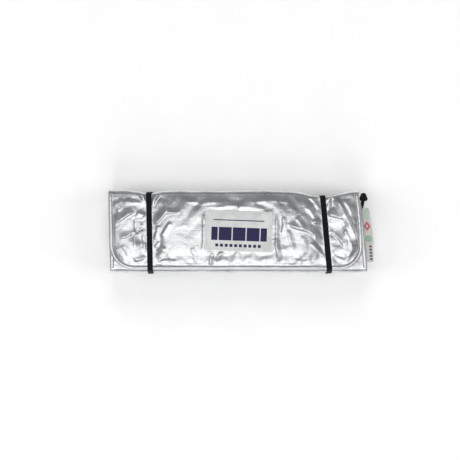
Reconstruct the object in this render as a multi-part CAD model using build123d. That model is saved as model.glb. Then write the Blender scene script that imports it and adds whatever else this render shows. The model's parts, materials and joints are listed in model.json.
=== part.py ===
from build123d import *
from math import cos, radians, sin
import os

# Foil-faced closed-cell foam pad, folded like a concertina into a small packet that two elastic
# bands hold shut. It lies on its back: +X runs along the packet, +Y towards the fold of the front
# flap, +Z out of the flap's face. The origin is the centre of the underside. All sizes are in mm.

# Driving dimensions
PANEL_COUNT = 7
FOLD_SPACING = 62.0        # from one fold line to the next
PAD_WIDTH = 213.5
FLAP_WIDTH = 210.5         # the last panel is cut a little narrower
FLAP_SHIFT = -1.5          # which leaves it flush with the others at the left-hand end
FREE_EDGE_REACH = 32.4     # from the packet's centre line to the bound free edges
CORNER_RADIUS = 21.0       # of the corners at both free edges
STACK_LEAN = 0.055         # how far the folded stack leans: sideways shift per mm towards +Y
PANEL_THICKNESS = 3.3
PANEL_GAP = 0.2
FOLD_CLEARANCE = 0.15      # from a panel's end to its fold line
SKIN = 0.2                 # woven foil laminate
TAPE = 0.3                 # binding tape folded around the raw edges
TAPE_WIDTH = 3.5

BAND_RELIEF = 1.35         # the ends of the lowest panel are squeezed up by this much
BEARING_HALF_LENGTH = 62.0
BEARING_MARGIN = 2.0       # from the bearing face to the binding at the free edge

BAND_WIDTH = 4.7
BAND_THICKNESS = 0.9
BAND_CLEARANCE = 0.3
BAND_CORNER_RADIUS = 2.5
LEFT_BAND_X = -74.2
LEFT_BAND_TILT = 1.1       # degrees about +Z
RIGHT_BAND_X = 75.4
RIGHT_BAND_TILT = 5.3

LABEL_LENGTH = 57.0
LABEL_HEIGHT = 34.0
LABEL_THICKNESS = 0.25
LABEL_CENTRE = (1.3, 0.4)
LABEL_TILT = -2.0

TRIM_PANEL = 5             # the tag and the hang tail are sewn into this panel's right-hand edge
TAG_TOP = 20.0
TAG_BOTTOM = -26.0
TAG_TOP_REACH = 112.8
TAG_BOTTOM_REACH = 116.0
TAG_THICKNESS = 1.0
TAG_RIBBON = 0.3
TAIL_BOTTOM = 20.5
TAIL_TOP = 26.0
TAIL_REACH = 108.4
TAIL_THICKNESS = 0.9
KNOT_CENTRE = (109.6, 28.9)
KNOT_RADIUS = 4.0
KNOT_THICKNESS = 6.0
KNOT_ROUNDING = 1.6

# Worked out from the driving dimensions
LAYER_PITCH = PANEL_THICKNESS + PANEL_GAP
PACKET_TOP = PANEL_COUNT * LAYER_PITCH - PANEL_GAP
FOLD_EDGE_REACH = FOLD_SPACING / 2 - FOLD_CLEARANCE
FOLD_RADIUS = PANEL_THICKNESS + PANEL_GAP / 2
PACKET_REACH = FOLD_EDGE_REACH + FOLD_RADIUS


def panel_floor(number):
    """Height of a panel's underside in the folded packet."""
    return BAND_RELIEF if number == 1 else (number - 1) * LAYER_PITCH


def panel_ceiling(number):
    """Height of a panel's upper face in the folded packet."""
    return number * LAYER_PITCH - PANEL_GAP


def panel_width(number):
    """Full width of a panel along X."""
    return FLAP_WIDTH if number == PANEL_COUNT else PAD_WIDTH


def panel_shift(number):
    """How far a panel's middle is from the packet's middle along X."""
    return FLAP_SHIFT if number == PANEL_COUNT else 0


def side_edge_x(y):
    """Where the right-hand edge of a full-width panel is at height y."""
    return PAD_WIDTH / 2 - STACK_LEAN * y


def fold_side(number):
    """+1 where the fold above panel number is at the +Y edge, -1 at the -Y edge."""
    return 1 if number % 2 == 0 else -1


def outline(number, inset):
    """A panel's outline with its bound edges drawn in by inset. Fold edges stay where they are."""
    half = panel_width(number) / 2 - inset
    high = FREE_EDGE_REACH - inset if number == 1 else FOLD_EDGE_REACH
    low = FREE_EDGE_REACH - inset if number == PANEL_COUNT else FOLD_EDGE_REACH
    corners = [(x + panel_shift(number) - STACK_LEAN * y, y) for x, y in
               [(-half, -low), (half, -low), (half, high), (-half, high)]]
    sheet = Polygon(*corners, align=None)
    if number == 1:
        return fillet(sheet.vertices().sort_by(Axis.Y)[-2:], CORNER_RADIUS - inset)
    if number == PANEL_COUNT:
        return fillet(sheet.vertices().sort_by(Axis.Y)[:2], CORNER_RADIUS - inset)
    return sheet


def slab(number, inset, bottom, top):
    """Solid of a panel's outline between two heights."""
    return extrude(Pos(0, 0, bottom) * outline(number, inset), top - bottom, dir=(0, 0, 1))


def foam_core(number):
    """Foam sheet, pressed thinner under the binding tape."""
    floor, ceiling = panel_floor(number), panel_ceiling(number)
    lip = SKIN + TAPE
    body = slab(number, TAPE_WIDTH, floor + SKIN, ceiling - SKIN)
    return body + slab(number, TAPE, floor + lip, ceiling - lip)


def upper_skin(number):
    """Foil skin over the foam, stepped down where it runs under the binding tape."""
    ceiling = panel_ceiling(number)
    step = ceiling - TAPE - SKIN
    face = slab(number, TAPE_WIDTH - SKIN, step, ceiling)
    edge = slab(number, TAPE, step, ceiling - TAPE)
    return face + edge - slab(number, TAPE_WIDTH, step, ceiling - SKIN)


def lower_skin(number):
    """The same skin on the underside."""
    middle = (panel_floor(number) + panel_ceiling(number)) / 2
    return mirror(upper_skin(number), Plane.XY.offset(middle))


def edge_binding(number):
    """Tape folded around the bound edges; the fold edges have none."""
    floor, ceiling = panel_floor(number), panel_ceiling(number)
    blank = slab(number, 0, floor, ceiling)
    channel = slab(number, TAPE, floor + TAPE, ceiling - TAPE)
    return blank - channel - slab(number, TAPE_WIDTH - SKIN, floor, ceiling)


def bearing_block(inset, bottom, top):
    """The thicker middle of the lowest panel, which the packet stands on."""
    half = BEARING_HALF_LENGTH - inset
    low = -FOLD_EDGE_REACH
    high = FREE_EDGE_REACH - TAPE_WIDTH - BEARING_MARGIN - inset
    block = Box(2 * half, high - low, top - bottom, align=(Align.CENTER, Align.MIN, Align.MIN))
    return Pos(0, low, bottom) * block


def base_foam_core():
    """Core of the lowest panel: full thickness in the middle, squeezed at the banded ends."""
    return foam_core(1) + bearing_block(SKIN, SKIN, BAND_RELIEF + 2 * SKIN)


def base_lower_skin():
    """Lower skin of the lowest panel, which follows the thicker middle down to the floor."""
    rim = BAND_RELIEF + SKIN
    flat_part = lower_skin(1) - bearing_block(SKIN, BAND_RELIEF, rim)
    return flat_part + (bearing_block(0, 0, rim) - bearing_block(SKIN, SKIN, rim))


def fold_cover(number):
    """Skin that runs round the fold between panel number and the next one."""
    side = fold_side(number)
    bottom, top = panel_floor(number), panel_ceiling(number + 1)
    radius = (top - bottom) / 2
    y = side * FOLD_EDGE_REACH
    width = min(panel_width(number), panel_width(number + 1))
    tube = Cylinder(radius, width) - Cylinder(radius - SKIN, width)
    keep = Box(2 * radius, 2 * radius, width, align=(Align.CENTER, Align.MIN, Align.CENTER))
    half_tube = tube & (Rot(0, 0, 0 if side > 0 else 180) * keep)
    middle = panel_shift(number + 1) - STACK_LEAN * y
    return Pos(middle, y, (bottom + top) / 2) * Rot(0, 90, 0) * half_tube


def elastic_band(x, tilt):
    """Flat elastic loop around the packet, standing clear of it all the way round."""
    angle = radians(tilt)
    reach = (PACKET_REACH + BAND_CLEARANCE + BAND_WIDTH / 2 * sin(angle)) / cos(angle)
    bottom, top = BAND_RELIEF - BAND_CLEARANCE, PACKET_TOP + BAND_CLEARANCE
    inner = RectangleRounded(2 * reach, top - bottom, BAND_CORNER_RADIUS)
    outer = offset(inner, BAND_THICKNESS)
    loop = Plane.YZ * Pos(0, (bottom + top) / 2) * (outer - inner)
    return Pos(x, 0, 0) * Rot(0, 0, tilt) * extrude(loop, BAND_WIDTH / 2, both=True)


def label_patch():
    """Printed patch on the flap."""
    blank = extrude(RectangleRounded(LABEL_LENGTH, LABEL_HEIGHT, 1.0), LABEL_THICKNESS)
    return Pos(*LABEL_CENTRE, PACKET_TOP) * Rot(0, 0, LABEL_TILT) * blank


def trim_middle():
    """Height of the middle of the panel that carries the tag and the hang tail."""
    return (panel_floor(TRIM_PANEL) + panel_ceiling(TRIM_PANEL)) / 2


def trim_blank(low, high, low_reach, high_reach, thickness):
    """Flat piece that stands out of the right-hand edge between two heights on Y."""
    corners = [(side_edge_x(low), low), (low_reach, low), (high_reach, high), (side_edge_x(high), high)]
    face = Pos(0, 0, trim_middle() - thickness / 2) * Polygon(*corners, align=None)
    return extrude(face, thickness, dir=(0, 0, 1))


def care_tag():
    """Ribbon folded double, with its fold on the outside and its ends in the seam."""
    ends = (TAG_BOTTOM, TAG_TOP)
    outside = trim_blank(*ends, TAG_BOTTOM_REACH, TAG_TOP_REACH, TAG_THICKNESS)
    inside = trim_blank(*ends, TAG_BOTTOM_REACH - TAG_RIBBON, TAG_TOP_REACH - TAG_RIBBON,
                        TAG_THICKNESS - 2 * TAG_RIBBON)
    return outside - inside


def hang_tail():
    """Short end of elastic sewn into the seam below its knot."""
    return trim_blank(TAIL_BOTTOM, TAIL_TOP, TAIL_REACH, TAIL_REACH, TAIL_THICKNESS)


def hang_knot():
    """Overhand knot in the flat elastic, which pulls into a rounded pentagon."""
    floor = panel_floor(TRIM_PANEL) + PANEL_GAP
    lump = extrude(RegularPolygon(KNOT_RADIUS, 5, rotation=18), KNOT_THICKNESS)
    lump = fillet(lump.edges(), KNOT_ROUNDING)
    tail = trim_blank(TAIL_BOTTOM, TAIL_TOP, TAIL_REACH, TAIL_REACH, TAIL_THICKNESS)
    return Pos(*KNOT_CENTRE, floor) * lump - tail


def panel_parts(number):
    """The four pieces of one panel, by node name."""
    base = number == 1
    return {
        f"panel_{number}_foam_core": base_foam_core() if base else foam_core(number),
        f"panel_{number}_upper_skin": upper_skin(number),
        f"panel_{number}_lower_skin": base_lower_skin() if base else lower_skin(number),
        f"panel_{number}_edge_binding": edge_binding(number),
    }


def all_parts():
    """Every piece of the pad, by node name."""
    parts = {}
    for number in range(1, PANEL_COUNT + 1):
        parts.update(panel_parts(number))
    for number in range(1, PANEL_COUNT):
        parts[f"fold_cover_{number}"] = fold_cover(number)
    parts["left_elastic_band"] = elastic_band(LEFT_BAND_X, LEFT_BAND_TILT)
    parts["right_elastic_band"] = elastic_band(RIGHT_BAND_X, RIGHT_BAND_TILT)
    parts["label_patch"] = label_patch()
    parts["care_tag"] = care_tag()
    parts["hang_tail"] = hang_tail()
    parts["hang_knot"] = hang_knot()
    return parts


os.makedirs("parts", exist_ok=True)
for name, shape in all_parts().items():
    shape.label = name
    export_step(shape, f"parts/{name}.step")
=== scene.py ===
import json
import math

import bpy
import numpy as np
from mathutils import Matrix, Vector


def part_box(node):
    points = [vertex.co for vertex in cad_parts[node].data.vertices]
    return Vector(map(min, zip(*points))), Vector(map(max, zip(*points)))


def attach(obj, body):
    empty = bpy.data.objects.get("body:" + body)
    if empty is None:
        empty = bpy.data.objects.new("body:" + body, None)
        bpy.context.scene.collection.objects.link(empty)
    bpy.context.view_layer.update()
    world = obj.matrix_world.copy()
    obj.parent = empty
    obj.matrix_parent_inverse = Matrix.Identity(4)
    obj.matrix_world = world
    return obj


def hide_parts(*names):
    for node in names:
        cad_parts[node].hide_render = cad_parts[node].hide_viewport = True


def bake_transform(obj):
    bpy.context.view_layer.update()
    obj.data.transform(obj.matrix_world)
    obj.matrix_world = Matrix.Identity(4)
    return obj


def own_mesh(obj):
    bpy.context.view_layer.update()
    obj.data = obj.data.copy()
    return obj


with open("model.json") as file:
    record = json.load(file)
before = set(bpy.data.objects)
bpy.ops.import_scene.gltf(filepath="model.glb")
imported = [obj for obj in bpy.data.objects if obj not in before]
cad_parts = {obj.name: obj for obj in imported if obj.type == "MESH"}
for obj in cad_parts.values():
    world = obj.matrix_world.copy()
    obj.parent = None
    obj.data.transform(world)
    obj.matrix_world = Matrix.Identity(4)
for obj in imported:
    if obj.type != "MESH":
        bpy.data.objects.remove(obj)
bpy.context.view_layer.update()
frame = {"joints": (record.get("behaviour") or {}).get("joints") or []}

# The foil-faced foam pad in its folded packet. Lengths are in millimetres until a mesh is made.
MM = 0.001
PANEL_COUNT = 7

# Shape shared with the CAD model
STACK_LEAN = 0.055
CORNER_RADIUS = 21.0
TAPE_WIDTH = 3.2
PAD_WIDTH = 213.5
FLAP_WIDTH = 210.5
FLAP_SHIFT = -1.5
LEFT_BAND = {"x": -74.2, "tilt": 1.1}
RIGHT_BAND = {"x": 75.4, "tilt": 5.3}
BAND_WIDTH = 4.7
BAND_THICKNESS = 0.9
LABEL_SIZE = (57.0, 34.0)
LABEL_CENTRE = (1.3, 0.4)
LABEL_TILT = -2.0
LABEL_SEAM_INSET = 1.9

# Soft shape
DOME_HEIGHT = 2.1          # how far the flap stands proud between the bands
ROLL_OFF_START = 8.0       # y where the dome starts to fall towards the fold
END_DOME_SHARE = 0.45      # the dome beyond the bands, as a share of that
FOLD_ROW = 0.35            # row spacing next to a fold, shared by a panel and the fold piece over it
LIP = 7 * FOLD_ROW         # how far a fold piece laps over its two panels
LIP_THICKNESS = 0.3
FOLD_FULLNESS = 0.9        # how far a fold swells past its hinge's radius
FIRST_FOLD_FULLNESS = -0.1
RIGHT_PINCH = {"x": 73.0, "width": 17.0, "fold": 3.0, "edge": 1.8}
LEFT_PINCH = {"x": -75.0, "width": 9.0, "fold": 1.3, "edge": 0.3}
TAPE_INSET = 3.5           # from the bound edge to the tape's own inner edge
TAPE_SEAM_INSET = 2.5
SKIN_SLACK_SHARE = 0.55    # how much of the simulated slack shows
CREASE_STRENGTH = 1.25
HIDDEN_CREASES = 26        # in each face that is inside the folded packet
CALM_LEFT = {"x": -43.5, "y": -7.0, "half_x": 19.0, "half_y": 20.0}
CALM_PATCH = {"x": 1.0, "y": 0.4, "half_x": 34.0, "half_y": 22.0}

FLOOR_LEVEL = -0.35        # leaves room for the slack bands under the open pad
FINE_STEP = 0.7            # grid of the flap
COARSE_STEP = 1.0          # grid of the other panels
LOWER_CLOTH = 400.0        # shift of the cloth coordinate on lower faces, so that they differ from upper ones

joints = {j["name"]: j for j in frame["joints"]}


def mm_box(node):
    """A CAD node's lowest and highest corners in millimetres."""
    low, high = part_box(node)
    return np.array(low) / MM, np.array(high) / MM


def fold_axis(number):
    """(y, z) of the hinge above panel number, in millimetres."""
    joint = joints["unfold" if number == 1 else f"fold_{number}"]
    return joint["pos_m"][1] / MM, joint["pos_m"][2] / MM


PANEL_LOW, PANEL_HIGH = {}, {}
for panel in range(1, PANEL_COUNT + 1):
    PANEL_LOW[panel], PANEL_HIGH[panel] = mm_box(f"panel_{panel}_edge_binding")
FOLD_REACH = mm_box("fold_cover_2")[0][1]           # where the +Y fold covers start
FOLD_RADIUS = mm_box("fold_cover_2")[1][1] - FOLD_REACH
BASE_LIFT = PANEL_LOW[1][2]                         # the raised ends of the lowest panel
BEARING_HALF_LENGTH = 62.0
FREE_REACH = PANEL_HIGH[1][1]
SKIN_X = (-109.5, 107.0)                            # area of the cloth run
SKIN_Y = (-FREE_REACH, FOLD_REACH)


# ---- shape helpers ----

def smooth_step(t):
    """0 below 0, 1 above 1, smooth between."""
    t = np.clip(t, 0.0, 1.0)
    return t * t * (3 - 2 * t)


def between_corners(table, ix, iy, jx, jy, fx, fy):
    """Value of a table between its entries at ix or jx and iy or jy, by the shares fx and fy."""
    near = table[ix, iy] * (1 - fx) + table[jx, iy] * fx
    far = table[ix, jy] * (1 - fx) + table[jx, jy] * fx
    return near * (1 - fy) + far * fy


def soft_noise(x, y, cell, seed):
    """Smooth random field from -1 to 1 with features about cell mm across."""
    table = np.random.RandomState(seed).uniform(-1, 1, (64, 64))
    gx, gy = x / cell + 512.0, y / cell + 512.0
    ix, iy = np.floor(gx).astype(int), np.floor(gy).astype(int)
    fx, fy = smooth_step(gx - ix), smooth_step(gy - iy)
    return between_corners(table, ix % 64, iy % 64, (ix + 1) % 64, (iy + 1) % 64, fx, fy)


CRUMPLE_WAVES = ((27.0, 1.0), (17.0, 0.75), (10.0, 0.45), (6.0, 0.2))     # length and strength
CRUMPLE_RANGE = 1.6


def crumple(x, y, seed):
    """Sharp-edged little folds of creased foil, about -1 to 1."""
    rng = np.random.RandomState(seed)
    total = np.zeros_like(x)
    for length, strength in CRUMPLE_WAVES:
        for _ in range(2):
            angle, phase = rng.uniform(0, math.pi), rng.uniform(0, 1)
            bend = 0.6 * length * soft_noise(x, y, 1.2 * length, rng.randint(1 << 30))
            along = x * math.cos(angle) + y * math.sin(angle) + bend
            wave = 2 * np.abs(2 * ((along / length + phase) % 1.0) - 1) - 1
            patch = np.clip(0.35 + 0.95 * soft_noise(x, y, 1.6 * length, rng.randint(1 << 30)), 0, 1)
            total += strength * patch * wave
    return total / CRUMPLE_RANGE


def along_line(x, y, points):
    """Distance from a broken line, the nearest place along it (0 to 1), and the side (+1 is left)."""
    best = np.full(x.shape, 1e9)
    place, side = np.zeros(x.shape), np.ones(x.shape)
    lengths = [math.dist(a, b) for a, b in zip(points[:-1], points[1:])]
    done = 0.0
    for (a, b), length in zip(zip(points[:-1], points[1:]), lengths):
        dx, dy = (b[0] - a[0]) / length, (b[1] - a[1]) / length
        run = np.clip((x - a[0]) * dx + (y - a[1]) * dy, 0, length)
        distance = np.hypot(x - a[0] - run * dx, y - a[1] - run * dy)
        nearer = distance < best
        best = np.where(nearer, distance, best)
        place = np.where(nearer, (done + run) / sum(lengths), place)
        side = np.where(nearer, np.sign(dx * (y - a[1]) - dy * (x - a[0]) + 1e-9), side)
        done += length
    return best, place, side


def crease(x, y, points, gentle, steep, height):
    """A fold along a line: it rises slowly on the left, drops quickly on the right, and fades at the ends.

    Negative heights make a groove of the same shape.
    """
    distance, place, side = along_line(x, y, points)
    fade = smooth_step(place / 0.2) * smooth_step((1 - place) / 0.2)
    return height * fade * np.clip(1 - distance / np.where(side > 0, gentle, steep), 0, 1)


def band_centre_x(band, y):
    return band["x"] - math.tan(math.radians(band["tilt"])) * y


def pinch_share(x, pinch):
    return np.exp(-((x - pinch["x"]) / pinch["width"]) ** 2)


def calm_share(x, y, area):
    """1 in the middle of an area that has few creases, falling off to 0 at its sides."""
    return np.exp(-((x - area["x"]) / area["half_x"]) ** 4 - ((y - area["y"]) / area["half_y"]) ** 4)


def unit(vectors):
    """Rows of an array, each made one long."""
    return vectors / np.linalg.norm(vectors, axis=1)[:, None]


def run_along(line):
    """Distance along a broken line at each of its points."""
    return np.concatenate([[0], np.cumsum(np.linalg.norm(np.diff(line, axis=0), axis=1))])


def edge_recess(number, x, y):
    """How far the elastic bands draw the +Y edges in."""
    grip = 2.3 if number == 1 else 1.0
    pull = sum(grip * p["edge"] * pinch_share(x, p) for p in (LEFT_PINCH, RIGHT_PINCH))
    return pull * smooth_step((y - 6.0) / 25.0)


def side_drift(number, u, y):
    """Sideways wander of the soft sides, u being -1 at the left side and +1 at the right."""
    right, left = ((1 + u) / 2) ** 2, ((1 - u) / 2) ** 2
    left_pull = -1.8 + 0.036 * y
    if number == PANEL_COUNT:
        right_pull = 2.4 - 1.1 * smooth_step((y - 12.0) / 20.0)
    else:
        right_pull = 1.6 - 0.03 * y - 2.0 * smooth_step((y - 16.0) / 17.0)
    return right * right_pull + left * left_pull


def panel_half_width(number):
    return (FLAP_WIDTH if number == PANEL_COUNT else PAD_WIDTH) / 2


def panel_middle(number, y):
    """x of a panel's middle at y: the folded stack leans."""
    return (FLAP_SHIFT if number == PANEL_COUNT else 0.0) - STACK_LEAN * y


def free_edge(number):
    """+1 or -1 for the side of a panel's free bound edge on Y, 0 where it has none."""
    return {1: 1, PANEL_COUNT: -1}.get(number, 0)


def half_width_at(number, y):
    """Half the outline's width at y, with the corners of the free edge rounded off."""
    half = np.full(np.shape(y), panel_half_width(number))
    side = free_edge(number)
    if side:
        into = np.clip(CORNER_RADIUS - (FREE_REACH - side * y), 0, CORNER_RADIUS)
        half = half - (CORNER_RADIUS - np.sqrt(CORNER_RADIUS ** 2 - into ** 2))
    return half


def place_xy(number, u, y):
    """x and y of the point that is u of the way from the middle of a panel to its side."""
    x = u * half_width_at(number, y) + panel_middle(number, y) + side_drift(number, u, y)
    return x, y - edge_recess(number, x, y)


# ---- surface heights ----

# Folds in the flap's skin: points in mm, then the gentle side's width, the steep side's width and the height
FLAP_CREASES = (
    # left-hand end
    ([(-106, 4), (-98, 10), (-92, 14.5), (-86, 16.5)], 6.0, 1.5, 0.75),
    ([(-100, -6.5), (-92, -3.5), (-87, -0.5), (-83, 3), (-78, 7)], 7.0, 1.5, 0.75),
    ([(-86.5, 0), (-87.2, -6), (-86.5, -15)], 4.5, 1.3, 0.5),
    ([(-77, 15), (-81, 14.6), (-85, 16.5)], 5.0, 1.4, 0.6),
    ([(-86, 12), (-86.5, 5), (-85.5, -1)], 7.0, 1.6, -0.55),
    ([(-84, 34), (-81, 31), (-77, 26), (-76.3, 21)], 3.2, 2.6, 1.3),
    ([(-72.2, 21), (-71.5, 26), (-67, 31.5), (-64, 34)], 3.2, 2.6, 1.3),
    ([(-96, 27), (-90, 24), (-82, 25)], 4.0, 1.8, 0.5),
    ([(-101, 20), (-100.5, 12)], 3.0, 1.3, 0.35),
    ([(-88, -25), (-82, -23.5), (-77, -21.5)], 3.0, 1.4, 0.5),
    ([(-98, -12), (-94, -16), (-92, -21)], 4.5, 1.5, 0.35),
    ([(-81, -2), (-79, -8), (-77, -20)], 4.0, 1.6, 0.5),
    # right of the left band
    ([(-72, 8), (-67.5, 7.2), (-64, 11.5), (-60.4, 16), (-52, 15.6), (-47, 17)], 4.5, 1.4, 0.75),
    ([(-67, 6), (-68, 0), (-70.3, -7)], 4.0, 1.3, 0.65),
    ([(-56, 9), (-58.5, 5), (-62, -1), (-65, -5)], 4.5, 1.6, 0.5),
    ([(-60, 16), (-59, 22), (-60, 28)], 4.0, 1.6, 0.45),
    ([(-62.5, -12), (-63.1, -16.4), (-66, -19.8), (-70, -20.2)], 4.0, 1.3, 0.6),
    ([(-70, -14), (-67, -11.5), (-66, -8)], 3.0, 1.2, 0.45),
    ([(-68.5, -27), (-64.2, -23.5), (-58, -22.4), (-50, -24)], 4.0, 1.4, 0.5),
    ([(-52, 3), (-44, 5), (-38, 2)], 5.0, 2.0, 0.22),
    # round the patch
    ([(-29.5, 17), (-28.3, 6), (-28.4, -8), (-30, -20)], 4.0, 1.4, 0.5),
    ([(-21.5, -18.5), (-22.8, -24), (-22.3, -30)], 3.0, 1.2, 0.6),
    ([(-12, -17), (-15, -19), (-18, -24.5)], 3.0, 1.2, 0.5),
    ([(-40, -14), (-36, -20), (-36, -27)], 4.0, 1.5, 0.3),
    ([(33.2, 17), (33.5, 4), (33, -12), (36.5, -28)], 3.5, 1.3, 0.6),
    ([(38.5, 13), (39.5, 6), (37.5, -3)], 3.5, 1.3, 0.35),
    # left of the right band
    ([(42, 7), (47, 4), (54.5, 1.9), (60.4, 0.3), (65.3, -2.9), (68.6, -9)], 6.0, 1.6, 0.8),
    ([(62, -9), (66.9, -14.2), (71.2, -19.2), (75, -24)], 3.2, 1.5, 0.75),
    ([(49, 12), (54, 6), (56.5, 1)], 4.0, 1.5, 0.45),
    ([(42, 2), (45, -8), (47.5, -17)], 4.0, 1.5, 0.4),
    ([(54, -3), (57, -10), (56, -20)], 4.0, 1.5, 0.4),
    ([(63, 7.3), (67, 8), (71, 7.6)], 3.5, 1.4, 0.6),
    ([(57, 22), (62, 18), (66, 11), (66.5, 4)], 4.5, 1.7, 0.55),
    ([(60, 31), (66, 26), (70.5, 19)], 4.0, 2.0, 0.7),
    ([(48, -22), (56, -24), (64, -22.5)], 4.0, 1.6, 0.3),
    # right-hand end
    ([(83, 33), (84.2, 29.5), (88, 21.9), (92.3, 13.8), (96.1, 5.2), (100.4, -2.9), (101.3, -11)],
     2.6, 4.5, 1.25),
    ([(75.5, 15.2), (83.6, 13), (92, 10.6)], 7.0, 1.5, 0.8),
    ([(76, 0.2), (81.5, -1.3), (86.9, -6.2), (92, -14)], 6.5, 1.5, 0.75),
    ([(79, 28), (77, 23), (75.5, 19)], 3.0, 1.5, 0.8),
    ([(80, 33), (77.5, 29), (74.5, 26.5)], 3.0, 2.0, 0.9),
    ([(96, -8), (97.5, -15), (94, -22)], 3.5, 1.5, 0.45),
    ([(90, 2), (95, -6), (97, -12)], 4.0, 1.4, 0.4),
    ([(84, 6), (90, 1), (93, -6)], 4.5, 1.6, 0.35),
    ([(80, -17), (86, -21), (93, -23)], 4.0, 1.5, 0.4),
    ([(91, 27), (95, 20), (98, 12)], 3.5, 1.6, 0.4),
    # under the fold at the top
    ([(-50, 27), (-30, 24), (-8, 26)], 4.0, 2.4, 0.32),
    ([(10, 24), (26, 27), (46, 25)], 4.0, 2.4, 0.32),
    ([(-20, 20), (-4, 22), (12, 20)], 5.0, 2.6, 0.25),
)


def side_distance(number, x, y):
    """How far a point of a panel is from the nearest bound edge."""
    half, middle = half_width_at(number, y), panel_middle(number, y)
    left = x - (middle - half + side_drift(number, -1.0, y))
    right = (middle + half + side_drift(number, 1.0, y)) - x
    nearest = np.minimum(left, right)
    side = free_edge(number)
    if side:
        nearest = np.minimum(nearest, FREE_REACH - side * y)
    return nearest


def near_bands(x, y, reach):
    """1 under an elastic band, falling off over reach mm beside it."""
    away = [np.maximum(np.abs(x - band_centre_x(band, y)) - BAND_WIDTH / 2, 0)
            for band in (LEFT_BAND, RIGHT_BAND)]
    return np.exp(-(np.minimum(*away) / reach) ** 2)


def dome(x, y):
    """Fullness of the flap: flat in front, rolling off towards the fold, held down by the bands."""
    roll_off = (np.clip(y - ROLL_OFF_START, 0, None) / (FOLD_REACH - ROLL_OFF_START)) ** 2
    rise = smooth_step((y + FREE_REACH - 1.0) / 17.0) * (1 - roll_off)
    sides = smooth_step(side_distance(PANEL_COUNT, x, y) / 13.0)
    ends = 1 - (1 - END_DOME_SHARE) * smooth_step((np.abs(x - 2.0) - 66.0) / 14.0)
    return DOME_HEIGHT * rise * sides * ends * (1 - 0.92 * near_bands(x, y, 10.0))


def sample_grid(field, u, v):
    """Value of a grid of numbers at u along its columns and v along its rows, both 0 to 1."""
    rows, columns = field.shape
    gx, gy = np.clip(u, 0, 1) * (columns - 1.001), np.clip(v, 0, 1) * (rows - 1.001)
    ix, iy = gx.astype(int), gy.astype(int)
    return between_corners(field.T, ix, iy, ix + 1, iy + 1, gx - ix, gy - iy)


CLOTH_FRAMES = 21
MOST_SLACK = 0.8


def slack_skin():
    """Wrinkles of the flap's skin from a short cloth run, as a grid of heights in mm above the dome.

    The skin is a little larger than the foam under it and is held by the binding, the fold, the bands and,
    less firmly, the patch, so it buckles in between. A unit of the run is 10 mm, a hundred times life size.
    """
    x, y = np.meshgrid(np.linspace(*SKIN_X, 182), np.linspace(*SKIN_Y, 57))
    start = dome(x, y) + 0.25 * soft_noise(x, y, 15.0, 901) + 0.10 * soft_noise(x, y, 8.0, 902)
    rows, columns = x.shape
    points = np.stack([x, y, start], -1).reshape(-1, 3) * 0.1
    mesh = bpy.data.meshes.new("slack_skin")
    mesh.from_pydata(points.tolist(), [], grid_faces(rows, columns).tolist())
    sheet = bpy.data.objects.new("slack_skin", mesh)
    bpy.context.scene.collection.objects.link(sheet)
    hold = 1 - smooth_step((side_distance(PANEL_COUNT, x, y) - 2.0) / 2.5)
    hold = np.maximum(hold, smooth_step((y - FOLD_REACH + 5.0) / 4.0))
    hold = np.maximum(hold, near_bands(x, y, 0.8))
    turn = math.radians(LABEL_TILT)
    across = (x - LABEL_CENTRE[0]) * math.cos(turn) + (y - LABEL_CENTRE[1]) * math.sin(turn)
    along = (y - LABEL_CENTRE[1]) * math.cos(turn) - (x - LABEL_CENTRE[0]) * math.sin(turn)
    on_patch = (np.abs(across) < LABEL_SIZE[0] / 2 + 1) & (np.abs(along) < LABEL_SIZE[1] / 2 + 1)
    hold = np.maximum(hold, 0.6 * on_patch).ravel()
    group = sheet.vertex_groups.new(name="held")
    for level in np.unique(np.round(hold, 1)):
        if level > 0:
            group.add(np.flatnonzero(np.round(hold, 1) == level).tolist(), float(level), "REPLACE")
    cloth = sheet.modifiers.new("cloth", "CLOTH")
    for setting, value in {"vertex_group_mass": "held", "quality": 6, "mass": 0.15, "tension_stiffness": 30.0,
                           "compression_stiffness": 30.0, "shear_stiffness": 12.0, "bending_stiffness": 4.0,
                           "air_damping": 4.0, "shrink_min": -0.014}.items():
        setattr(cloth.settings, setting, value)
    cloth.settings.effector_weights.gravity = 0.0
    cloth.collision_settings.use_collision = False
    scene = bpy.context.scene
    for number in range(1, CLOTH_FRAMES + 1):
        scene.frame_set(number)
    graph = bpy.context.evaluated_depsgraph_get()
    result = sheet.evaluated_get(graph).to_mesh()
    flat = np.zeros(len(result.vertices) * 3)
    result.vertices.foreach_get("co", flat)
    heights = flat.reshape(-1, 3)[:, 2].reshape(rows, columns) * 10.0
    bpy.data.objects.remove(sheet)
    bpy.data.meshes.remove(mesh)
    scene.frame_set(1)
    return np.clip(heights - dome(x, y), -MOST_SLACK, MOST_SLACK)


def flap_relief(x, y):
    """Creases of the flap's face: the simulated slack, the large creases one by one, then fine crumpling."""
    relief = SKIN_SLACK_SHARE * sample_grid(SKIN_SLACK, (x - SKIN_X[0]) / (SKIN_X[1] - SKIN_X[0]),
                                            (y - SKIN_Y[0]) / (SKIN_Y[1] - SKIN_Y[0]))
    relief *= 1 - 0.7 * calm_share(x, y, CALM_LEFT)
    for points, gentle, steep, height in FLAP_CREASES:
        relief += CREASE_STRENGTH * crease(x, y, points, gentle, steep, height)
    strength = (0.10 + 0.22 * near_bands(x, y, 24.0)) * (1 - 0.7 * calm_share(x, y, CALM_PATCH))
    relief += strength * crumple(x, y, 71) + 0.02 * crumple(3.1 * x, 3.1 * y, 72)
    relief -= 0.4 * np.exp(-((side_distance(PANEL_COUNT, x, y) - TAPE_WIDTH - 0.6) / 0.6) ** 2)
    return relief * (1 - 0.85 * near_bands(x, y, 1.6))


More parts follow.
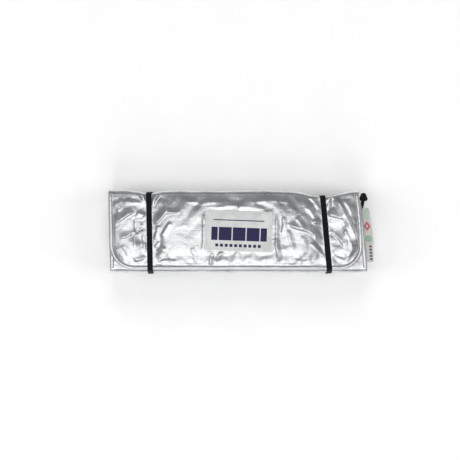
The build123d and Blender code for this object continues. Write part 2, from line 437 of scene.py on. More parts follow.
def slack_hollow(x, y, seed):
    """Depth of the creases in a face that is hidden in the folded packet: all of them dip into the foam."""
    rng = np.random.RandomState(seed)
    depth = 0.30 + 0.26 * soft_noise(x, y, 31.0, rng.randint(1 << 30))
    for _ in range(HIDDEN_CREASES):
        start = np.array([rng.uniform(-100, 92), rng.uniform(-27, 27)])
        heading, points = rng.uniform(0, 2 * math.pi), [start]
        for _ in range(rng.randint(2, 5)):
            heading += rng.normal(0, 0.45)
            points.append(points[-1] + rng.uniform(5, 10) * np.array([math.cos(heading), math.sin(heading)]))
        depth -= crease(x, y, points, rng.uniform(3, 7), rng.uniform(1.4, 2.2), rng.uniform(0.25, 0.6))
    return np.clip(depth, 0.0, 0.9)


def face_height(number, upper, x, y):
    """Height of a panel's upper or lower face, creases included."""
    sign = 1.0 if upper else -1.0
    flat = PANEL_HIGH[number][2] if upper else PANEL_LOW[number][2]
    inner = smooth_step((side_distance(number, x, y) - 2.0) / 4.0)
    if number == PANEL_COUNT and upper:
        return flat + dome(x, y) + inner * flap_relief(x, y) - 0.15 * (1 - inner)
    if number == 1 and not upper:
        ends = smooth_step((np.abs(x) - BEARING_HALF_LENGTH + 3.0) / 6.0)
        edge = smooth_step((FREE_REACH - 2.0 - y) / 6.0)
        flat = BASE_LIFT * (1 - (1 - ends) * edge)
    face_seed = 20 * number + (1 if upper else 2)
    hollow = np.clip(0.22 - 0.20 * crumple(x, y, face_seed), 0.0, 0.6)
    away_from_folds = smooth_step((FOLD_REACH - LIP - 1.0 - np.abs(y)) / 8.0)
    hollow += away_from_folds * slack_hollow(x, y, face_seed)
    return flat - sign * inner * hollow


def fold_dip(number, y):
    """How far a panel's face lies below its fold pieces' lips near a fold edge."""
    dip = np.zeros_like(y)
    for side in (1, -1):
        if free_edge(number) != side:
            dip += 0.42 * smooth_step((side * y - (FOLD_REACH - LIP + 2 * FOLD_ROW)) / (3 * FOLD_ROW))
    return dip


# ---- mesh helpers ----

def make_piece(name, points, faces, material, cloth=None, face_slots=None):
    """Mesh object from points in mm. cloth holds a cloth coordinate in mm for each point."""
    mesh = bpy.data.meshes.new(name)
    mesh.from_pydata((np.asarray(points) * MM).tolist(), [], [tuple(int(i) for i in f) for f in faces])
    for one in (material if isinstance(material, (list, tuple)) else [material]):
        mesh.materials.append(one)
    if face_slots is not None:
        mesh.polygons.foreach_set("material_index", np.asarray(face_slots, np.int32))
    if cloth is not None:
        layer = mesh.uv_layers.new(name="cloth")
        corners = np.zeros(len(mesh.loops), np.int32)
        mesh.loops.foreach_get("vertex_index", corners)
        layer.data.foreach_set("uv", (np.asarray(cloth)[corners] * 0.01).astype(np.float32).ravel())
    mesh.polygons.foreach_set("use_smooth", [True] * len(mesh.polygons))
    mesh.validate()
    mesh.update()
    piece = bpy.data.objects.new(name, mesh)
    bpy.context.scene.collection.objects.link(piece)
    return piece


def apply_modifiers(piece):
    """Bakes a piece's modifiers into its mesh."""
    graph = bpy.context.evaluated_depsgraph_get()
    mesh = bpy.data.meshes.new_from_object(piece.evaluated_get(graph), depsgraph=graph)
    piece.modifiers.clear()
    piece.data = mesh


def grid_faces(rows, columns, first=0, flip=False):
    """Quads of a grid of points stored row by row."""
    r, c = np.meshgrid(np.arange(rows - 1), np.arange(columns - 1), indexing="ij")
    a = first + (r * columns + c).ravel()
    quads = np.stack([a, a + 1, a + columns + 1, a + columns], 1)
    return quads[:, ::-1] if flip else quads


def rim_indices(rows, columns, first=0):
    """Indices round the border of a grid, counter-clockwise seen with rows going up."""
    index = first + np.arange(rows * columns).reshape(rows, columns)
    return np.concatenate([index[0, :-1], index[:-1, -1], index[-1, :0:-1], index[:0:-1, 0]])


def closed_faces(rows, columns):
    """Faces of an upper grid, a lower grid stored after it, and the wall between their borders."""
    count = rows * columns
    top_rim, bottom_rim = rim_indices(rows, columns), rim_indices(rows, columns, count)
    wall = np.stack([top_rim, bottom_rim, np.roll(bottom_rim, -1), np.roll(top_rim, -1)], 1)
    return np.concatenate([grid_faces(rows, columns), grid_faces(rows, columns, count, True), wall])


def tube_faces(rings, size, first=0, closed=False):
    """Faces of rings of size points in a row, capped at both ends unless the row closes on itself."""
    faces = []
    for i in range(rings if closed else rings - 1):
        a, b = first + i * size, first + (i + 1) % rings * size
        faces += [(a + j, a + (j + 1) % size, b + (j + 1) % size, b + j) for j in range(size)]
    if not closed:
        last = first + (rings - 1) * size
        faces += [tuple(range(first, first + size))[::-1], tuple(range(last, last + size))]
    return faces


def grid_step(number):
    return FINE_STEP if number == PANEL_COUNT else COARSE_STEP


def grid_columns(number):
    return np.linspace(-1, 1, int(2 * panel_half_width(number) / grid_step(number)))


def spaced_rows(number):
    """y of the rows of a panel's grid, closer together at folds and in the rounded corners."""
    side = free_edge(number)
    ends = []
    for end in (-1, 1):
        if side == end:
            turn = np.radians(np.arange(0, 46, 4.0))
            ends.append(end * (FREE_REACH - CORNER_RADIUS * (1 - np.cos(turn))))
        else:
            ends.append(end * (FOLD_REACH - FOLD_ROW * np.arange(12)))
    low, high = ends[0].max(), ends[1].min()
    middle = np.linspace(low, high, int((high - low) / grid_step(number)) + 1)[1:-1]
    return np.concatenate([ends[0], middle, ends[1][::-1]])


def closed_panel(number):
    """A panel as a closed pillow: upper face, lower face and the wall between them."""
    u, y = np.meshgrid(grid_columns(number), spaced_rows(number))
    x, y_placed = place_xy(number, u, y)
    points, cloth = [], []
    for upper in (True, False):
        z = face_height(number, upper, x, y) - (1 if upper else -1) * fold_dip(number, y)
        points.append(np.stack([x, y_placed, z], -1).reshape(-1, 3))
        cloth.append(np.stack([x, y + (0 if upper else LOWER_CLOTH)], -1).reshape(-1, 2))
    return make_piece(f"panel_{number}_pad", np.concatenate(points), closed_faces(*u.shape), foil,
                      np.concatenate(cloth))


def swept(name, path, across, up, section, closed=False):
    """Elastic: a closed section swept along a path, across and up being its two axes at each point."""
    section = np.asarray(section, float)
    rings = path[:, None] + section[None, :, :1] * across[:, None] + section[None, :, 1:] * up[:, None]
    faces = tube_faces(len(path), len(section), closed=closed)
    cloth = np.broadcast_arrays(run_along(path)[:, None], run_along(section)[None, :])
    return make_piece(name, rings.reshape(-1, 3), faces, elastic, np.stack(cloth, -1).reshape(-1, 2))


# ---- materials ----

class Graph:
    """Short way to write a node material."""

    def __init__(self, name):
        self.material = bpy.data.materials.new(name)
        self.material.use_nodes = True
        self.tree = self.material.node_tree
        self.shader = self.tree.nodes["Principled BSDF"]
        self.where = self.node("ShaderNodeTexCoord").outputs["Object"]

    def node(self, kind, links=None, **settings):
        node = self.tree.nodes.new(kind)
        for key, value in settings.items():
            setattr(node, key, value)
        for socket, value in (links or {}).items():
            self.feed(node.inputs[socket], value)
        return node

    def feed(self, socket, value):
        if isinstance(value, bpy.types.NodeSocket):
            self.tree.links.new(value, socket)
        else:
            socket.default_value = value

    def math(self, operation, *values):
        node = self.node("ShaderNodeMath", operation=operation)
        for socket, value in zip(node.inputs, values):
            self.feed(socket, value)
        return node.outputs[0]

    def times(self, a, b):
        return self.math("MULTIPLY", a, b)

    def plus(self, a, b):
        return self.math("ADD", a, b)

    def minus(self, a, b):
        return self.math("SUBTRACT", a, b)

    def mix(self, share, a, b):
        node = self.node("ShaderNodeMix", data_type="RGBA")
        for socket, value in ((node.inputs[0], share), (node.inputs[6], a), (node.inputs[7], b)):
            self.feed(socket, value)
        return node.outputs[2]

    def remap(self, value, low, high, new_low=0.0, new_high=1.0):
        links = {"Value": value, "From Min": low, "From Max": high, "To Min": new_low, "To Max": new_high}
        return self.node("ShaderNodeMapRange", links).outputs[0]

    def noise(self, scale, detail=3.0, roughness=0.5):
        links = {"Vector": self.where, "Scale": scale, "Detail": detail, "Roughness": roughness}
        return self.node("ShaderNodeTexNoise", links).outputs[0]

    def bump(self, height, strength, distance, normal=None):
        links = {"Height": height, "Strength": strength, "Distance": distance}
        node = self.node("ShaderNodeBump", links)
        if normal is not None:
            self.feed(node.inputs["Normal"], normal)
        return node.outputs[0]

    def cloth_place(self):
        """u and v of the cloth coordinate, in mm."""
        where = self.node("ShaderNodeUVMap", uv_map="cloth").outputs[0]
        parts = self.node("ShaderNodeSeparateXYZ", {"Vector": where})
        return [self.math("MULTIPLY", parts.outputs[i], 100.0) for i in (0, 1)]

    def thread_lines(self, value, pitch, width):
        """1 on evenly spaced lines, falling off to 0 between them."""
        near = self.math("PINGPONG", value, pitch / 2)
        return self.remap(near, 0.0, width, 1.0, 0.0)

    def weave(self, u, v, pitch, width, join="MULTIPLY"):
        return self.math(join, self.thread_lines(u, pitch, width), self.thread_lines(v, pitch, width))

    def finish(self, **sockets):
        names = {"color": "Base Color", "rough": "Roughness", "metal": "Metallic", "normal": "Normal",
                 "sheen": "Sheen Weight", "specular": "Specular IOR Level"}
        for key, value in sockets.items():
            self.feed(self.shader.inputs[names[key]], value)
        return self.material


RIPSTOP_PITCH = 1.9


def foil_material(name, bright, dark, grid=1.0):
    """Aluminised ripstop: a fine square grid of threads under crinkled metal film."""
    g = Graph(name)
    u, v = g.cloth_place()
    warp = g.times(g.minus(g.noise(60.0, 2.0), 0.5), 1.1)
    lines = g.math("MAXIMUM", *(g.thread_lines(g.plus(way, warp), RIPSTOP_PITCH, 0.42) for way in (u, v)))
    weave = g.weave(u, v, 0.38, 0.19)
    broad = g.noise(55.0, 4.0, 0.6)
    creases = g.node("ShaderNodeTexVoronoi", {"Vector": g.where, "Scale": 190.0}, feature="DISTANCE_TO_EDGE")
    crinkle = g.remap(creases.outputs[0], 0.0, 0.16)
    fine = g.noise(650.0, 2.0, 0.5)
    tone = g.plus(g.times(broad, 0.75), g.times(fine, 0.25))
    color = g.mix(g.remap(tone, 0.38, 0.62), dark, bright)
    color = g.mix(g.times(lines, 0.22 * grid), color, (0.50, 0.51, 0.53, 1))
    rough = g.remap(g.plus(tone, g.times(lines, 0.12)), 0.35, 0.75, 0.27, 0.42)
    normal = g.bump(g.noise(120.0, 2.0, 0.5), 0.16, 0.0009)
    normal = g.bump(crinkle, 0.10, 0.0004, normal)
    normal = g.bump(g.plus(lines, g.times(weave, 0.10)), 0.14 * grid, 0.00015, normal)
    return g.finish(color=color, rough=rough, metal=0.88, normal=normal)


def elastic_material():
    """Matte black braided elastic with ribs along its length."""
    g = Graph("black_elastic")
    run, girth = g.cloth_place()
    ribs = g.thread_lines(girth, 0.85, 0.34)
    picks = g.thread_lines(g.plus(run, g.times(girth, 0.5)), 0.55, 0.22)
    braid = g.plus(g.times(ribs, 0.7), g.times(picks, 0.5))
    color = g.mix(g.remap(braid, 0.0, 1.2), (0.002, 0.002, 0.003, 1), (0.011, 0.011, 0.013, 1))
    fuzz = g.noise(2500.0, 2.0)
    normal = g.bump(g.plus(braid, g.times(fuzz, 0.3)), 0.6, 0.0002)
    return g.finish(color=color, rough=g.remap(fuzz, 0.3, 0.7, 0.72, 0.9), normal=normal,
                    sheen=0.08, specular=0.2)


def thread_material():
    """Pale grey sewing thread."""
    g = Graph("grey_thread")
    twist = g.node("ShaderNodeTexWave", {"Vector": g.where, "Scale": 1400.0, "Distortion": 1.5})
    color = g.mix(twist.outputs[1], (0.42, 0.43, 0.45, 1), (0.66, 0.67, 0.68, 1))
    return g.finish(color=color, rough=0.6, normal=g.bump(twist.outputs[1], 0.4, 0.0001))


def block(g, u, v, centre, half):
    """1 inside a rectangle of the cloth coordinates, 0 outside."""
    across = g.math("LESS_THAN", g.math("ABSOLUTE", g.minus(u, centre[0])), half[0])
    along = g.math("LESS_THAN", g.math("ABSOLUTE", g.minus(v, centre[1])), half[1])
    return g.times(across, along)


def label_material():
    """Coated woven patch with a plain print of bars."""
    g = Graph("printed_patch")
    u, v = g.cloth_place()
    weave = g.weave(u, v, 0.42, 0.2)
    stain = g.noise(90.0, 4.0)
    ground = g.mix(g.remap(stain, 0.35, 0.65), (0.49, 0.52, 0.51, 1), (0.60, 0.62, 0.61, 1))
    ground = g.mix(g.times(weave, 0.35), ground, (0.68, 0.70, 0.69, 1))
    band = block(g, u, v, (0.6, -2.6), (23.5, 5.6))
    notch = g.math("LESS_THAN", g.math("PINGPONG", g.plus(u, 5.3), 5.9), 0.45)
    band = g.times(band, g.minus(1.0, notch))
    stripe = block(g, u, v, (0.0, 9.0), (21.5, 0.42))
    row = block(g, u, v, (0.0, -12.4), (20.0, 1.25))
    dash = g.math("GREATER_THAN", g.math("PINGPONG", g.plus(u, 40.0), 2.0), 0.75)
    ink = g.math("MAXIMUM", band, g.math("MAXIMUM", stripe, g.times(row, dash)))
    blue = g.mix(stain, (0.010, 0.010, 0.045, 1), (0.022, 0.020, 0.075, 1))
    color = g.mix(ink, ground, blue)
    normal = g.bump(g.noise(160.0, 3.0), 0.35, 0.0006)
    normal = g.bump(g.plus(weave, g.times(ink, 0.8)), 0.3, 0.00012, normal)
    return g.finish(color=color, rough=g.remap(stain, 0.3, 0.7, 0.42, 0.6), normal=normal, specular=0.4)


def tag_material():
    """Thin satin ribbon with a few plain coloured marks and short dark bars."""
    g = Graph("care_ribbon")
    u, v = g.cloth_place()
    stain = g.noise(200.0, 3.0)
    color = g.mix(stain, (0.47, 0.45, 0.43, 1), (0.60, 0.58, 0.56, 1))
    green_patch = block(g, u, v, (6.6, 14.8), (2.0, 4.6))
    color = g.mix(g.times(green_patch, 0.85), color, (0.36, 0.50, 0.37, 1))
    du, dv = g.minus(u, 6.4), g.minus(v, 4.6)
    lozenge = g.plus(g.math("ABSOLUTE", du), g.times(g.math("ABSOLUTE", dv), 0.72))
    red = g.times(g.math("LESS_THAN", lozenge, 3.1), g.math("GREATER_THAN", lozenge, 1.1))
    color = g.mix(g.times(red, 0.9), color, (0.42, 0.07, 0.09, 1))
    disc_v, disc_u = g.minus(v, -6.0), g.minus(u, 7.0)
    disc = g.math("SQRT", g.plus(g.times(disc_u, disc_u), g.times(disc_v, disc_v)))
    color = g.mix(g.times(g.math("LESS_THAN", disc, 2.9), 0.8), color, (0.20, 0.38, 0.24, 1))
    bars = block(g, u, v, (8.0, -18.0), (1.1, 6.8))
    gaps = g.math("GREATER_THAN", g.math("PINGPONG", g.plus(v, 60.0), 1.35), 0.55)
    color = g.mix(g.times(bars, gaps), color, (0.05, 0.05, 0.06, 1))
    weave = g.weave(u, v, 0.3, 0.12, "ADD")
    normal = g.bump(g.plus(weave, g.times(stain, 2.0)), 0.3, 0.0001)
    return g.finish(color=color, rough=g.remap(stain, 0.3, 0.7, 0.4, 0.55), normal=normal, sheen=0.2)


def floor_material():
    g = Graph("pale_floor")
    grain = g.noise(30.0, 3.0)
    color = g.mix(grain, (0.86, 0.86, 0.86, 1), (0.90, 0.90, 0.90, 1))
    return g.finish(color=color, rough=0.9, specular=0.1)


foil = foil_material("ripstop_foil", (0.90, 0.905, 0.915, 1), (0.70, 0.71, 0.73, 1))
tape = foil_material("binding_foil", (0.93, 0.935, 0.945, 1), (0.78, 0.79, 0.81, 1), grid=0.35)
elastic = elastic_material()
thread = thread_material()


# ---- pieces ----

# Rings of a fold piece's lip: distance from the panel's end, and depth below the panel's face
LIP_RINGS = tuple((n * FOLD_ROW, sink)
                  for n, sink in ((7, 0.02), (6, -0.004), (5, -0.004), (4, -0.003), (2, 0.0)))


def fold_piece(number):
    """Foam and skin bent round the fold between panel number and the next, lapping onto both."""
    above = number + 1
    hinge_y, hinge_z = fold_axis(number)
    side = 1 if hinge_y > 0 else -1
    u = grid_columns(above)
    columns = len(u)
    start = side * np.full(columns, FOLD_REACH)
    low_x, low_y = place_xy(number, u, start)
    high_x, high_y = place_xy(above, u, start)
    z_low = face_height(number, False, low_x, start)
    z_high = face_height(above, True, high_x, start)
    reach = np.full(columns, FOLD_RADIUS + (FOLD_FULLNESS if number > 1 else FIRST_FOLD_FULLNESS))
    if side > 0:                                 # the left end swells, and the bands pinch
        reach += 0.8 * smooth_step((-84.0 - low_x) / 12.0)
        reach -= sum((p["fold"] + 0.6) * pinch_share(low_x, p) for p in (LEFT_PINCH, RIGHT_PINCH))
    reach += 0.25 * soft_noise(low_x, 0 * low_x, 9.0, 300 + number) - 0.25
    rings, lines = [], []

    def lip(panel, upper, y_from_edge, sink):
        row = start - side * y_from_edge
        x, y = place_xy(panel, u, row)
        rings.append(np.stack([x, y, face_height(panel, upper, x, row) + (-sink if upper else sink)], -1))
        lines.append(np.stack([x, (0 if upper else LOWER_CLOTH) + start - side * y_from_edge], -1))

    for y_from_edge, sink in LIP_RINGS:
        lip(number, False, y_from_edge, sink)
    for turn in np.radians(np.linspace(-90, 90, 19)):
        share = (math.sin(turn) + 1) / 2
        x = low_x * (1 - share) + high_x * share
        puff = 0.35 * math.cos(turn) * crumple(x, np.full(columns, 60.0 + 4 * turn), 400 + number)
        y = low_y * (1 - share) + high_y * share + side * (reach + np.minimum(puff, 0.15)) * math.cos(turn)
        z = (z_low + z_high) / 2 + (z_high - z_low) / 2 * math.sin(turn)
        rings.append(np.stack([x, y, z], -1))
        lines.append(np.stack([x, np.full(columns, side * (FOLD_REACH + 4 * (turn + 1.57)))], -1))
    for y_from_edge, sink in LIP_RINGS[::-1]:
        lip(above, True, y_from_edge, sink)
    for y_from_edge in (LIP, 0.5 * LIP, 0.0):
        lip(above, True, y_from_edge, LIP_THICKNESS)
    for y_from_edge in (0.0, 0.5 * LIP, LIP):
        lip(number, False, y_from_edge, LIP_THICKNESS)

    points = np.stack(rings)                     # ring, column, xyz
    ring_count = len(points)
    points = points.transpose(1, 0, 2).reshape(-1, 3)
    cloth = np.stack(lines).transpose(1, 0, 2).reshape(-1, 2)
    faces, slots = [], []
    for i in range(columns - 1):
        at_end = min(i, columns - 2 - i) * grid_step(above) < TAPE_WIDTH
        for j in range(ring_count):
            a, b = i * ring_count, (i + 1) * ring_count
            quad = (a + j, a + (j + 1) % ring_count, b + (j + 1) % ring_count, b + j)
            faces.append(quad if side < 0 else quad[::-1])
            slots.append(1 if at_end else 0)
    cap = list(range(ring_count))[::side]
    faces += [cap, [(columns - 1) * ring_count + j for j in cap[::-1]]]
    slots += [1, 1]
    piece = make_piece(f"fold_{number}_roll", points, faces, [foil, tape], cloth, face_slots=slots)
    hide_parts(f"fold_cover_{number}")
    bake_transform(piece)
    return piece


def bound_path(number, inset):
    """Points round a panel's bound edges at an inset, as one or two open lines, with inward normals."""
    side = free_edge(number)
    half = panel_half_width(number) - inset
    if not side:
        y = np.linspace(-FOLD_REACH, FOLD_REACH, 63)
        return [np.stack([np.full(63, s * half), y], 1) for s in (1, -1)]
    radius = CORNER_RADIUS - inset
    free = FREE_REACH - inset
    straight = np.arange(-FOLD_REACH, free - radius, 1.0)
    points = [(half, y) for y in straight]
    turns = np.radians(np.arange(0, 91, 3.0))
    points += [(half - radius + radius * math.cos(t), free - radius + radius * math.sin(t)) for t in turns]
    points += [(x, free) for x in np.arange(half - radius - 1.0, -half + radius, -1.0)]
    points += [(-half + radius - radius * math.sin(t), free - radius + radius * math.cos(t)) for t in turns]
    points += [(-half, y) for y in straight[::-1]]
    points = np.array(points)
    points[:, 1] *= side
    return [points]


def lay_on_panel(number, flat):
    """Moves points of a panel's plain outline to where the soft panel has them."""
    y = np.clip(flat[:, 1], -FREE_REACH, FREE_REACH)
    u = np.clip(flat[:, 0] / panel_half_width(number), -1, 1)
    x = flat[:, 0] + panel_middle(number, y) + side_drift(number, u, y)
    return x, y - edge_recess(number, x, y)


# Section of the folded tape: distance from the edge in mm, and height as a share of half the panel
TAPE_SECTION = (
    (TAPE_INSET, 1.0), (1.2, 1.08), (0.45, 0.9), (0.08, 0.45), (0.0, 0.0),
    (0.08, -0.45), (0.45, -0.9), (1.2, -1.08), (TAPE_INSET, -1.0),
    (TAPE_INSET, -0.75), (1.2, -0.75), (0.5, -0.3), (0.5, 0.3), (1.2, 0.75), (TAPE_INSET, 0.75),
)


def edge_tape(number):
    """Binding tape: a folded strip round each bound edge."""
    middle = (PANEL_LOW[number][2] + PANEL_HIGH[number][2]) / 2
    half = (PANEL_HIGH[number][2] - PANEL_LOW[number][2]) / 2
    points, faces, cloth = [], [], []
    for line in bound_path(number, 0.0):
        first = len(points)
        run = 0.0
        for i, place in enumerate(line):
            before, after = line[max(i - 1, 0)], line[min(i + 1, len(line) - 1)]
            step = (after - before) / np.linalg.norm(after - before)
            normal = np.array([-step[1], step[0]])
            if np.dot(normal, -place) < 0:
                normal = -normal
            run += 1.0
            wave = 0.22 * float(soft_noise(np.array([run]), np.array([9.0 * number]), 6.0, 500 + number)[0])
            for inset, height in TAPE_SECTION:
                spread = inset + (wave if inset == TAPE_INSET else 0.35 * wave)
                x, y = lay_on_panel(number, (place + normal * spread)[None])
                lift = 0.10 * float(soft_noise(np.array([run]), np.array([inset]), 4.0, 520 + number)[0])
                z = middle + (half + 0.05) * height + (lift if height > 0 else -lift) * (abs(height) > 0.7)
                z = min(z, PANEL_HIGH[number][2] + 0.08) if number < PANEL_COUNT else z
                points.append((x[0], y[0], z))
                cloth.append((run, inset + height))
        faces += tube_faces(len(line), len(TAPE_SECTION), first)
    piece = make_piece(f"panel_{number}_tape", points, faces, tape, cloth)
    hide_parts(f"panel_{number}_edge_binding")
    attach(piece, f"panel_{number}")
    return piece


def stitch_rod(start, end, radius):
    """Points and faces of one stitch: a short rod with tapered ends."""
    start, end = np.array(start, float), np.array(end, float)
    direction = (end - start) / np.linalg.norm(end - start)
    across = np.cross(direction, (0, 0, 1.0))
    across /= np.linalg.norm(across)
    up = np.cross(across, direction)
    rings = []
    for share, swell in ((0.0, 0.35), (0.18, 1.0), (0.82, 1.0), (1.0, 0.35)):
        centre = start + (end - start) * share
        rings += [centre + swell * radius * (math.cos(a) * across + math.sin(a) * up)
                  for a in np.radians(np.arange(0, 360, 60))]
    return rings, tube_faces(4, 6)


def stitches(name, lines, body, radius=0.15, stitch=2.0, gap=0.8):
    """Row of stitches along each line of points."""
    points, faces = [], []
    for line in lines:
        line = np.asarray(line, float)
        run = run_along(line)
        for begin in np.arange(0.4, run[-1] - stitch, stitch + gap):
            ends = [[np.interp(begin + d, run, line[:, axis]) for axis in range(3)] for d in (0, stitch)]
            ring, quads = stitch_rod(*ends, radius)
            faces += [tuple(len(points) + i for i in quad) for quad in quads]
            points += ring
    piece = make_piece(name, points, faces, thread)
    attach(piece, body)
    return piece


def tape_stitches(number):
    """Stitching through the binding tape, on both faces."""
    lines = []
    for flat in bound_path(number, TAPE_SEAM_INSET):
        x, y = lay_on_panel(number, flat)
        for z in (PANEL_LOW[number][2] + 0.02, PANEL_HIGH[number][2] - 0.02):
            lines.append(np.stack([x, y, np.full(len(x), z)], 1))
    piece = stitches(f"panel_{number}_stitching", lines, f"panel_{number}")


def hull(points):
    """Convex outline of 2-D points, counter-clockwise."""
    points = sorted(map(tuple, points))

    def chain(ordered):
        line = []
        for p in ordered:
            while len(line) > 1 and ((line[-1][0] - line[-2][0]) * (p[1] - line[-2][1])
                                     - (line[-1][1] - line[-2][1]) * (p[0] - line[-2][0])) <= 0:
                line.pop()
            line.append(p)
        return line[:-1]

    return np.array(chain(points) + chain(points[::-1]))


def even_loop(line, step):
    """Closed 2-D line resampled at even steps."""
    line = np.concatenate([line, line[:1]])
    run = run_along(line)
    at = np.linspace(0, run[-1], int(run[-1] / step) + 1)[:-1]
    return np.stack([np.interp(at, run, line[:, k]) for k in (0, 1)], 1)


def grown_loop(line, distance):
    """Closed counter-clockwise line moved outwards."""
    ahead = unit(np.roll(line, -1, 0) - np.roll(line, 1, 0))
    return line + distance * np.stack([ahead[:, 1], -ahead[:, 0]], 1)


def elastic_band(name, band, packet):
    """Flat elastic loop stretched round the packet, so that it lies on the packet's convex outline."""
    tilt = math.radians(band["tilt"])
    near = []
    for piece in packet:
        flat = np.zeros(len(piece.data.vertices) * 3)
        piece.data.vertices.foreach_get("co", flat)
        points = flat.reshape(-1, 3) / MM
        beside = np.abs(points[:, 0] - band_centre_x(band, points[:, 1])) < BAND_WIDTH / 2 + 0.6
        near.append(points[beside][:, 1:])
    line = even_loop(hull(np.concatenate(near)), 0.5)
    for _ in range(4):
        line = (np.roll(line, 1, 0) + 2 * line + np.roll(line, -1, 0)) / 4
    line = even_loop(grown_loop(line, BAND_THICKNESS / 2 + 0.12), 0.7)[::-1]
    line[:, 1] = np.maximum(line[:, 1], BAND_THICKNESS / 2 + 0.15)
    centre = np.stack([band_centre_x(band, line[:, 0]), line[:, 0], line[:, 1]], 1)
    tangent = unit(np.roll(centre, -1, 0) - np.roll(centre, 1, 0))
    side = np.broadcast_to((math.cos(tilt), math.sin(tilt), 0.0), tangent.shape)
    half, thick = BAND_WIDTH / 2, BAND_THICKNESS / 2
    section = [(-half, 0.0), (-half + 0.12, 0.6 * thick), (-half + 0.5, thick), (-1.2, thick),
               (0, 1.06 * thick), (1.2, thick), (half - 0.5, thick), (half - 0.12, 0.6 * thick),
               (half, 0.0), (half - 0.12, -0.6 * thick), (half - 0.5, -thick), (0, -thick),
               (-half + 0.5, -thick), (-half + 0.12, -0.6 * thick)]
    piece = swept(f"{name}_elastic", centre, side, unit(np.cross(side, tangent)), section, closed=True)
    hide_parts(f"{name}_elastic_band")
    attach(piece, f"{name}_band")
    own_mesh(piece)


def label_points(columns, rows, grow=0.0):
    """Grid over the patch: its own coordinates, and x and y on the flap."""
    u, v = np.meshgrid(np.linspace(-1, 1, columns) * (LABEL_SIZE[0] / 2 + grow),
                       np.linspace(-1, 1, rows) * (LABEL_SIZE[1] / 2 + grow))
    turn = math.radians(LABEL_TILT)
    x = LABEL_CENTRE[0] + u * math.cos(turn) - v * math.sin(turn)
    y = LABEL_CENTRE[1] + u * math.sin(turn) + v * math.cos(turn)
    return u, v, x, y


def sewn_label():
    """Patch on the flap, its edges drawn down by its seam."""
    u, v, x, y = label_points(116, 70)
    near_edge = np.minimum(LABEL_SIZE[0] / 2 - np.abs(u), LABEL_SIZE[1] / 2 - np.abs(v))
    seam_dip = 0.16 * np.exp(-((near_edge - LABEL_SEAM_INSET) / 0.7) ** 2)
    raised = 0.30 + 0.20 * smooth_step(near_edge / 1.2) - seam_dip
    base = face_height(PANEL_COUNT, True, x, y)
    top = base + raised + 0.12 * crumple(x, y, 81)
    points = np.concatenate([np.stack([x, y, z], -1).reshape(-1, 3) for z in (top, base - 0.25)])
    cloth = np.stack([u, v], -1).reshape(-1, 2)
    piece = make_piece("front_patch", points, closed_faces(*u.shape), label_material(),
                       np.concatenate([cloth, cloth]))
    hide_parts("label_patch")
    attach(piece, "panel_7")
    u, v, x, y = label_points(60, 40, grow=-LABEL_SEAM_INSET)
    z = face_height(PANEL_COUNT, True, x, y) + 0.36
    rim = rim_indices(40, 60)
    line = np.stack([x.ravel()[rim], y.ravel()[rim], z.ravel()[rim]], 1)
    line = np.concatenate([line, line[:1]])
    seam = stitches("front_patch_stitching", [line], "panel_7", radius=0.13, stitch=1.7, gap=0.6)


def folded_tag():
    """Ribbon folded double, standing out of the right-hand seam."""
    low, high = mm_box("care_tag")
    middle = (low[2] + high[2]) / 2
    rows, steps = 60, 30
    points, cloth = [], []
    for i in range(rows):
        share = i / (rows - 1)
        y = low[1] + (high[1] - low[1]) * share
        seam_x = 105.2 - 0.075 * y
        outer_x = high[0] + 1.2 - 3.3 * smooth_step((share - 0.35) / 0.65)
        outer_x -= 0.9 * smooth_step((share - 0.93) / 0.07)
        wave = 0.35 * math.sin(5.0 * share + 0.6)
        for j in range(steps):
            t = j / (steps - 1)
            along = abs(2 * t - 1)
            side = 1 if t < 0.5 else -1
            x = outer_x - (outer_x - seam_x) * along
            spread = 0.42 * math.sqrt(max(1 - (1 - along) ** 6, 0)) * (1.0 + 0.5 * math.sin(3 * share))
            points.append((x, y, middle + side * (0.10 + spread) + wave * (1 - along)))
            cloth.append(((1 - along) * (outer_x - seam_x) if side > 0 else 40 + t * 10, y))
    piece = make_piece("care_ribbon", points, grid_faces(rows, steps), tag_material(), cloth)
    thick = piece.modifiers.new("thickness", "SOLIDIFY")
    thick.thickness = 0.16 * MM
    thick.offset = 0.0
    apply_modifiers(piece)
    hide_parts("care_tag")
    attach(piece, "panel_5")


def sweep_axes(line, outward):
    """Two axes square to a line at each point, the second turned outward as far as it can be."""
    tangent = unit(np.gradient(line, axis=0))
    across = unit(np.cross(tangent, outward))
    return across, np.cross(across, tangent)


# Points of the tail: x, y and the height above the middle of its CAD node
TAIL_ROUTE = np.array([(106.2, 19.6, 0.0), (106.8, 21.5, 0.2), (107.3, 24.0, 0.7), (107.8, 27.0, 1.2)])


def knot_and_tail():
    """Overhand knot drawn tight in the end of the elastic, and the tail below it."""
    low, high = mm_box("hang_knot")
    centre = (low + high) / 2 - (1.5, 0, 0)
    t = np.linspace(0.12, 2 * math.pi - 0.12, 140)
    line = np.stack([0.84 * (np.sin(t) + 2 * np.sin(2 * t)), -0.86 * (np.cos(t) - 2 * np.cos(2 * t)),
                     -1.2 * np.sin(3 * t)], 1) + centre
    turns = np.radians(np.arange(0, 360, 30))
    ring = np.stack([np.cos(turns), np.sin(turns)], 1)
    knot = swept("end_knot", line, *sweep_axes(line, line - centre), ring * (1.35, 1.4))
    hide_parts("hang_knot")
    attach(knot, "panel_5")
    low, high = mm_box("hang_tail")
    route = TAIL_ROUTE + (0, 0, (low[2] + high[2]) / 2)
    at = np.linspace(0, 3, 30)
    line = np.stack([np.interp(at, range(4), route[:, k]) for k in range(3)], 1)
    tail = swept("end_tail", line, *sweep_axes(line, (0, 0, 1.0)), ring * (1.5, 0.6))
    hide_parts("hang_tail")
    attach(tail, "panel_5")


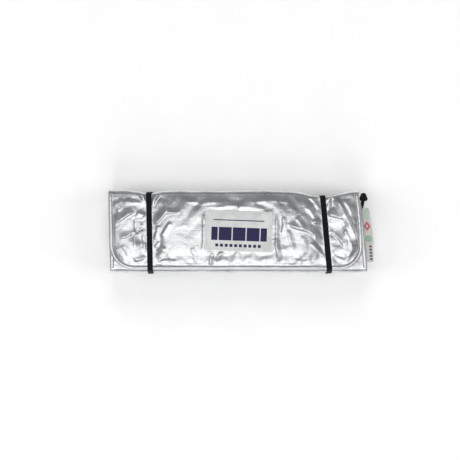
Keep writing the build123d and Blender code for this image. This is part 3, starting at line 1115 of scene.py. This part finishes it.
def pad_panels():
    """Panels with their tape and stitching, then the folds between them."""
    packet = []
    for number in range(1, PANEL_COUNT + 1):
        piece = closed_panel(number)
        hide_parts(*(f"panel_{number}_{part}" for part in ("foam_core", "upper_skin", "lower_skin")))
        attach(piece, f"panel_{number}")
        packet += [piece, edge_tape(number)]
        tape_stitches(number)
    return packet + [fold_piece(number) for number in range(1, PANEL_COUNT)]


# ---- stage ----

def area_light(name, place, size, radiance, aim=(0, 0, 0), on_floor_only=False):
    """Soft box that is radiance bright to look at. on_floor_only keeps it out of the foil's reflections."""
    light = bpy.data.lights.new(name, "AREA")
    light.shape = "RECTANGLE"
    light.size, light.size_y = size
    light.energy = radiance * math.pi * size[0] * size[1]
    lamp = bpy.data.objects.new(name, light)
    lamp.location = place
    lamp.rotation_euler = Vector(np.subtract(aim, place)).to_track_quat("-Z", "Y").to_euler()
    lamp.visible_glossy = not on_floor_only
    lamp.visible_camera = False
    bpy.context.scene.collection.objects.link(lamp)


VIEW_WIDTH = 0.390          # metres that the camera sees across at the flap
FLOOR_RADIUS = 1500         # mm


def make_stage():
    """Camera straight above the packet, a pale floor and soft light from around the camera."""
    scene = bpy.context.scene
    camera = bpy.data.cameras.new("camera")
    camera.lens = 85.0
    holder = bpy.data.objects.new("camera", camera)
    top = PANEL_HIGH[PANEL_COUNT][2] * MM
    holder.location = (-0.0059, 0.0013, top + VIEW_WIDTH * camera.lens / camera.sensor_width)
    scene.collection.objects.link(holder)
    scene.camera = holder
    rim = [(FLOOR_RADIUS * math.cos(t), FLOOR_RADIUS * math.sin(t), FLOOR_LEVEL)
           for t in np.radians(np.arange(0, 360, 4))]
    floor = make_piece("floor", rim, [tuple(range(len(rim)))], floor_material())
    world = bpy.data.worlds.new("studio")
    world.use_nodes = True
    background = world.node_tree.nodes["Background"]
    background.inputs[0].default_value = (0.97, 0.985, 1.0, 1)
    path = world.node_tree.nodes.new("ShaderNodeLightPath")
    level = world.node_tree.nodes.new("ShaderNodeMapRange")
    # The backdrop is pale to look at, but lights the foil only a little
    level.inputs["To Min"].default_value, level.inputs["To Max"].default_value = 0.09, 1.0
    world.node_tree.links.new(path.outputs["Is Camera Ray"], level.inputs["Value"])
    world.node_tree.links.new(level.outputs[0], background.inputs[1])
    scene.world = world
    scene.view_settings.view_transform = "Standard"
    area_light("key", (-0.05, -0.345, 1.30), (0.90, 0.89), 1.45, aim=(-0.05, -0.345, 0))
    area_light("key_surround", (0.0, -0.55, 1.45), (2.0, 1.4), 0.30, aim=(0, -0.55, 0))
    for side, x in (("left", -0.95), ("right", 0.95)):
        area_light(f"{side}_strip", (x, -0.25, 1.1), (0.16, 0.9), 0.4)
    for side, (x, y) in (("left", (-1, 0)), ("right", (1, 0)), ("far", (0, 1)), ("near", (0, -1))):
        area_light(f"{side}_wash", (1.4 * x, 1.4 * y, 0.8), (1.0, 1.0), 3.6, on_floor_only=True)
        area_light(f"{side}_card", (2.0 * x, 2.0 * y, 0.35), (1.9, 0.7), 0.6)


make_stage()
SKIN_SLACK = slack_skin()
packet = pad_panels()
sewn_label()
elastic_band("left", LEFT_BAND, packet)
elastic_band("right", RIGHT_BAND, packet)
folded_tag()
knot_and_tail()
